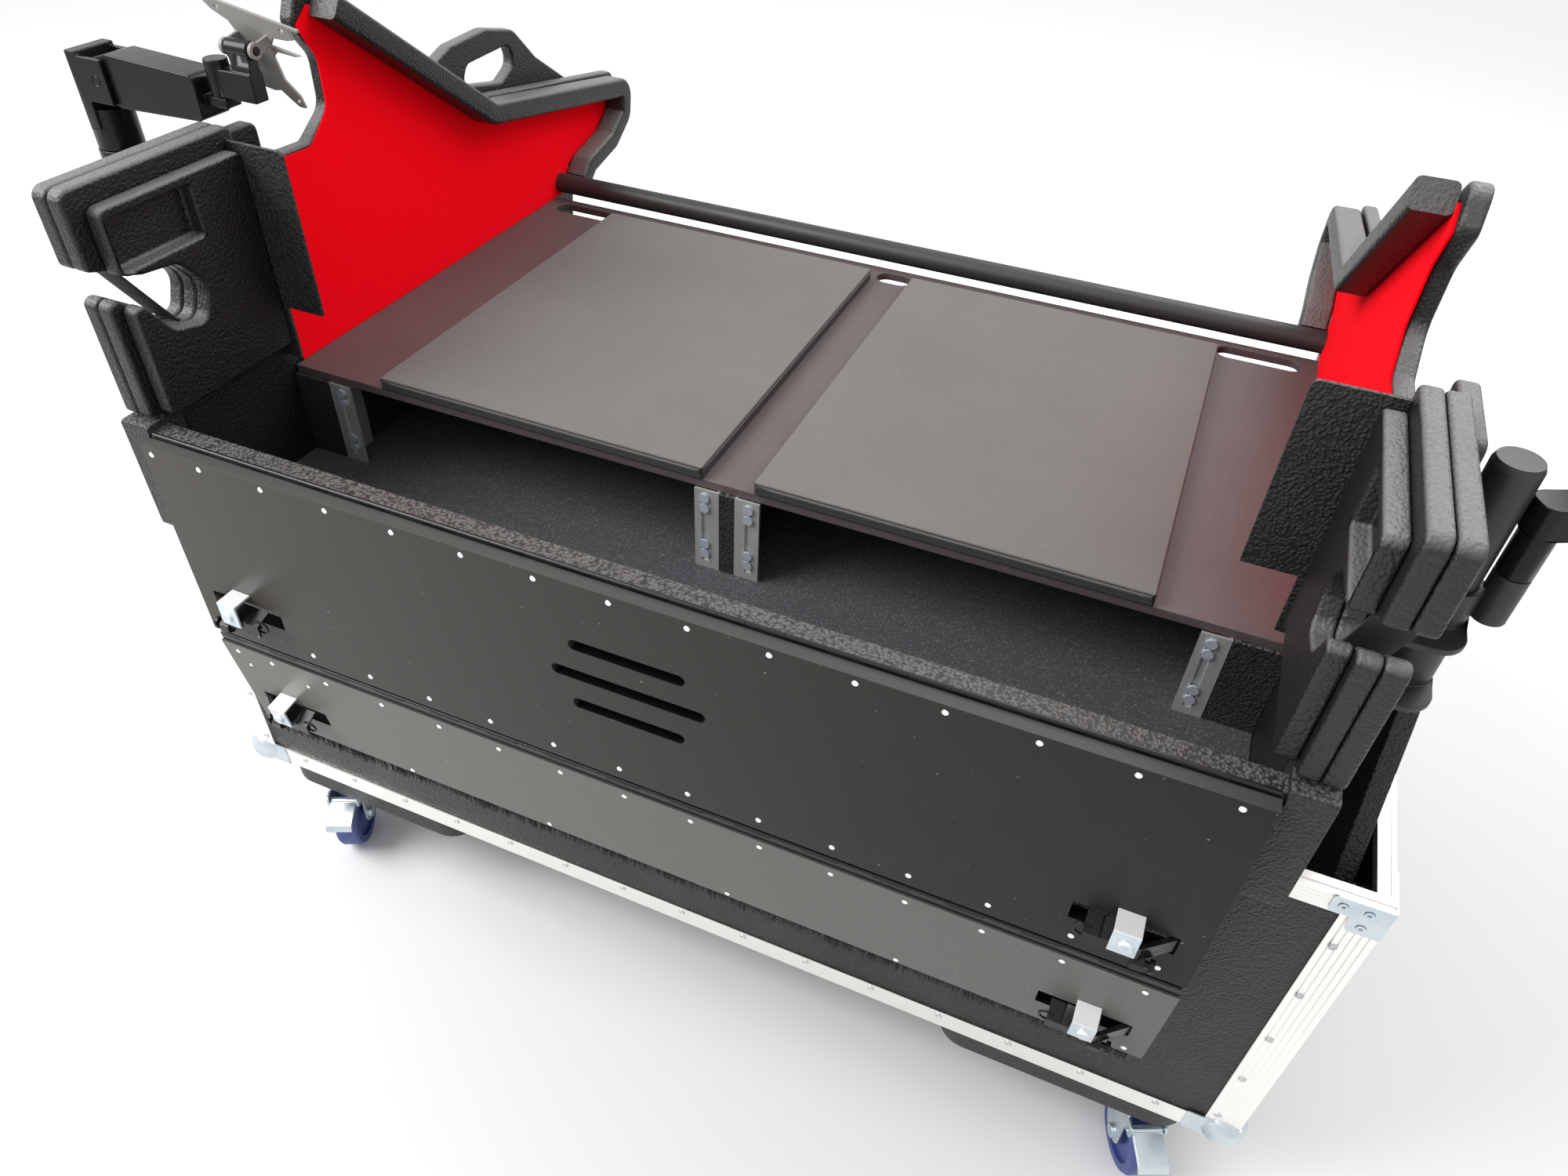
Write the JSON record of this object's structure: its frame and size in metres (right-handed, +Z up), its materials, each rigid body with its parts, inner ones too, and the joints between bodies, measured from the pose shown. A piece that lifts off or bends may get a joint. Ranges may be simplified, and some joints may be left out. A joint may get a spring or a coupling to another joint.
{
  "type": "flip-up mixing desk case",
  "caption": "Wheeled flight case base with a tipping padded cradle for a live mixing desk, rack bays, hinged front flaps and jointed screen arms.",
  "frame": {"origin": "on the floor under the middle of the bounding box", "axes": "+X to the right seen from the front, +Y to the rear, +Z up"},
  "size_m": [1.5947, 1.064, 1.1467],
  "materials": {
    "board": "black pebble-grain coating on plywood",
    "panel": "black fine-grain laminate on plywood",
    "pad": "black grained rubber skin over foam",
    "foam": "closed-cell foam",
    "felt": "red felt",
    "webbing": "black woven webbing",
    "bristle": "black-green bristles",
    "extrusion": "mill-finish aluminium extrusion",
    "zinc": "zinc-plated pressed steel",
    "bright_zinc": "bright zinc-plated sheet",
    "rivet": "aluminium rivets",
    "steel": "bare steel",
    "rod_steel": "hard chrome",
    "black_steel": "satin black powder coat",
    "gloss_black": "gloss black paint",
    "plate_grey": "light grey paint",
    "tread": "blue elastic rubber tread"
  },
  "bodies": {
    "base": {"base_floor": "board", "base_walls": "board", "base_edging": "extrusion", "corner_hardware": "zinc", "base_rivets": "rivet", "caster_boards": "board", "caster_plates": "zinc", "pivot_boards": "board", "pivot_pins": "steel"},
    "cradle": {"side_boards": "board", "padded_blocks": "pad", "padded_bands": "pad", "felt_faces": "felt", "stop_plates": "black_steel", "hand_straps": "webbing", "cradle_boards": "board", "deck_board": "panel", "deck_pads": "foam", "rear_tube": "black_steel", "rack_rails": "steel", "rail_posts": "board", "rack_bolts": "bright_zinc", "top_hinge_leaf": "black_steel", "pole_brackets": "black_steel", "poles": "black_steel"},
    "upper_flap": {"front_panel": "panel", "front_panel_hinges": "black_steel", "front_panel_rivets": "rivet", "upper_latch_brackets": "bright_zinc"},
    "lower_flap": {"lower_panel": "panel", "lower_panel_hinge": "black_steel", "lower_panel_rivets": "rivet", "lower_latch_brackets": "bright_zinc", "brush_strip": "bristle"},
    "gas_cylinders": {"strut_cylinders": "black_steel"},
    "gas_rods": {"strut_rods": "rod_steel"},
    "caster_fork_front_left": {"fork_front_left": "zinc"},
    "caster_wheel_front_left": {"wheel_front_left": "tread"},
    "caster_fork_front_right": {"fork_front_right": "zinc"},
    "caster_wheel_front_right": {"wheel_front_right": "tread"},
    "caster_fork_rear_left": {"fork_rear_left": "zinc"},
    "caster_wheel_rear_left": {"wheel_rear_left": "tread"},
    "caster_fork_rear_right": {"fork_rear_right": "zinc"},
    "caster_wheel_rear_right": {"wheel_rear_right": "tread"},
    "pedal_left": {"brake_pedal_left": "zinc"},
    "bolt_upper_left": {"latch_bolt_upper_left": "gloss_black"},
    "bolt_lower_left": {"latch_bolt_lower_left": "gloss_black"},
    "link_left": {"arm_link_left": "black_steel"},
    "upright_left": {"riser_left": "black_steel"},
    "sprung_arm_left": {"spring_arm_left": "gloss_black"},
    "head_left": {"tilt_head_left": "black_steel"},
    "plate_left": {"screen_plate_left": "plate_grey"},
    "pedal_right": {"brake_pedal_right": "zinc"},
    "bolt_upper_right": {"latch_bolt_upper_right": "gloss_black"},
    "bolt_lower_right": {"latch_bolt_lower_right": "gloss_black"},
    "link_right": {"arm_link_right": "black_steel"},
    "upright_right": {"riser_right": "black_steel"},
    "sprung_arm_right": {"spring_arm_right": "gloss_black"},
    "head_right": {"tilt_head_right": "black_steel"},
    "plate_right": {"screen_plate_right": "plate_grey"}
  },
  "joints": [
    {"name": "cradle_tip", "type": "hinge", "parent": "base", "child": "cradle", "pos_m": [0, -0.10508, 0.805], "axis": [-1, 0, 0], "range_deg": [0, 90]},
    {"name": "upper_flap_fold", "type": "hinge", "parent": "cradle", "child": "upper_flap", "pos_m": [0, -0.48757, 0.795], "axis": [-1, 0, 0], "range_deg": [0, 160]},
    {"name": "lower_flap_fold", "type": "hinge", "parent": "upper_flap", "child": "lower_flap", "pos_m": [0, -0.50008, 0.53], "axis": [-1, 0, 0], "range_deg": [0, 97]},
    {"name": "upper_bolt_slide_left", "type": "slide", "parent": "upper_flap", "child": "bolt_upper_left", "axis": [1, 0, 0], "range_m": [0, 0.012]},
    {"name": "lower_bolt_slide_left", "type": "slide", "parent": "lower_flap", "child": "bolt_lower_left", "axis": [1, 0, 0], "range_m": [0, 0.012]},
    {"name": "upper_bolt_slide_right", "type": "slide", "parent": "upper_flap", "child": "bolt_upper_right", "axis": [-1, 0, 0], "range_m": [0, 0.012]},
    {"name": "lower_bolt_slide_right", "type": "slide", "parent": "lower_flap", "child": "bolt_lower_right", "axis": [-1, 0, 0], "range_m": [0, 0.012]},
    {"name": "swivel_front_left", "type": "hinge", "parent": "base", "child": "caster_fork_front_left", "pos_m": [-0.59, -0.36007, 0.12], "axis": [0, 0, 1], "continuous": true},
    {"name": "roll_front_left", "type": "hinge", "parent": "caster_fork_front_left", "child": "caster_wheel_front_left", "pos_m": [-0.57521, -0.3918, 0.05], "axis": [0.9063, 0.4226, 0], "continuous": true},
    {"name": "swivel_front_right", "type": "hinge", "parent": "base", "child": "caster_fork_front_right", "pos_m": [0.59, -0.36007, 0.12], "axis": [0, 0, 1], "continuous": true},
    {"name": "roll_front_right", "type": "hinge", "parent": "caster_fork_front_right", "child": "caster_wheel_front_right", "pos_m": [0.60479, -0.3918, 0.05], "axis": [0.9063, 0.4226, 0], "continuous": true},
    {"name": "swivel_rear_left", "type": "hinge", "parent": "base", "child": "caster_fork_rear_left", "pos_m": [-0.59, 0.45992, 0.12], "axis": [0, 0, 1], "continuous": true},
    {"name": "roll_rear_left", "type": "hinge", "parent": "caster_fork_rear_left", "child": "caster_wheel_rear_left", "pos_m": [-0.57521, 0.4282, 0.05], "axis": [0.9063, 0.4226, 0], "continuous": true},
    {"name": "swivel_rear_right", "type": "hinge", "parent": "base", "child": "caster_fork_rear_right", "pos_m": [0.59, 0.45992, 0.12], "axis": [0, 0, 1], "continuous": true},
    {"name": "roll_rear_right", "type": "hinge", "parent": "caster_fork_rear_right", "child": "caster_wheel_rear_right", "pos_m": [0.60479, 0.4282, 0.05], "axis": [0.9063, 0.4226, 0], "continuous": true},
    {"name": "pedal_press_left", "type": "hinge", "parent": "caster_fork_front_left", "child": "pedal_left", "pos_m": [-0.56591, -0.41174, 0.1026], "axis": [0.9063, 0.4226, 0], "range_deg": [0, 12]},
    {"name": "pedal_press_right", "type": "hinge", "parent": "caster_fork_front_right", "child": "pedal_right", "pos_m": [0.61409, -0.41174, 0.1026], "axis": [0.9063, 0.4226, 0], "range_deg": [0, 12]},
    {"name": "strut_turn", "type": "hinge", "parent": "base", "child": "gas_cylinders", "pos_m": [0, -0.32508, 0.26], "axis": [1, 0, 0], "range_deg": [-0.05, 1.53]},
    {"name": "strut_slide", "type": "slide", "parent": "gas_cylinders", "child": "gas_rods", "axis": [0, 0.4771, 0.8789], "range_m": [-0.12025, 0.0005]},
    {"name": "link_swivel_left", "type": "hinge", "parent": "cradle", "child": "link_left", "pos_m": [-0.676, -0.28808, 0.895], "axis": [0, 0, 1], "range_deg": [-10, 12]},
    {"name": "upright_swivel_left", "type": "hinge", "parent": "link_left", "child": "upright_left", "pos_m": [-0.76663, -0.24581, 0.985], "axis": [0, 0, 1], "range_deg": [-170, 10]},
    {"name": "arm_lift_left", "type": "hinge", "parent": "upright_left", "child": "sprung_arm_left", "pos_m": [-0.74063, -0.24581, 1.053], "axis": [0, -1, 0], "range_deg": [0, 19]},
    {"name": "head_swivel_left", "type": "hinge", "parent": "sprung_arm_left", "child": "head_left", "pos_m": [-0.59063, -0.24581, 1.053], "axis": [0, 0, 1], "range_deg": [-25, 25]},
    {"name": "plate_tilt_left", "type": "hinge", "parent": "head_left", "child": "plate_left", "pos_m": [-0.55263, -0.24581, 1.105], "axis": [1, 0, 0], "range_deg": [0, 20]},
    {"name": "link_swivel_right", "type": "hinge", "parent": "cradle", "child": "link_right", "pos_m": [0.676, -0.28808, 0.895], "axis": [0, 0, 1], "range_deg": [-85, 10]},
    {"name": "upright_swivel_right", "type": "hinge", "parent": "link_right", "child": "upright_right", "pos_m": [0.76663, -0.24581, 0.985], "axis": [0, 0, 1], "range_deg": [-120, 10]},
    {"name": "arm_lift_right", "type": "hinge", "parent": "upright_right", "child": "sprung_arm_right", "pos_m": [0.76663, -0.21981, 1.053], "axis": [1, 0, 0], "range_deg": [-15, 19]},
    {"name": "head_swivel_right", "type": "hinge", "parent": "sprung_arm_right", "child": "head_right", "pos_m": [0.76663, -0.06981, 1.053], "axis": [0, 0, 1], "range_deg": [-25, 25]},
    {"name": "plate_tilt_right", "type": "hinge", "parent": "head_right", "child": "plate_right", "pos_m": [0.76663, -0.03181, 1.105], "axis": [0, -1, 0], "range_deg": [0, 20]}
  ],
  "couplings": [
    {"joint": "strut_turn", "follows": "cradle_tip", "ratio": 0.016499},
    {"joint": "strut_slide", "follows": "cradle_tip", "m_per_rad": -0.076237}
  ]
}
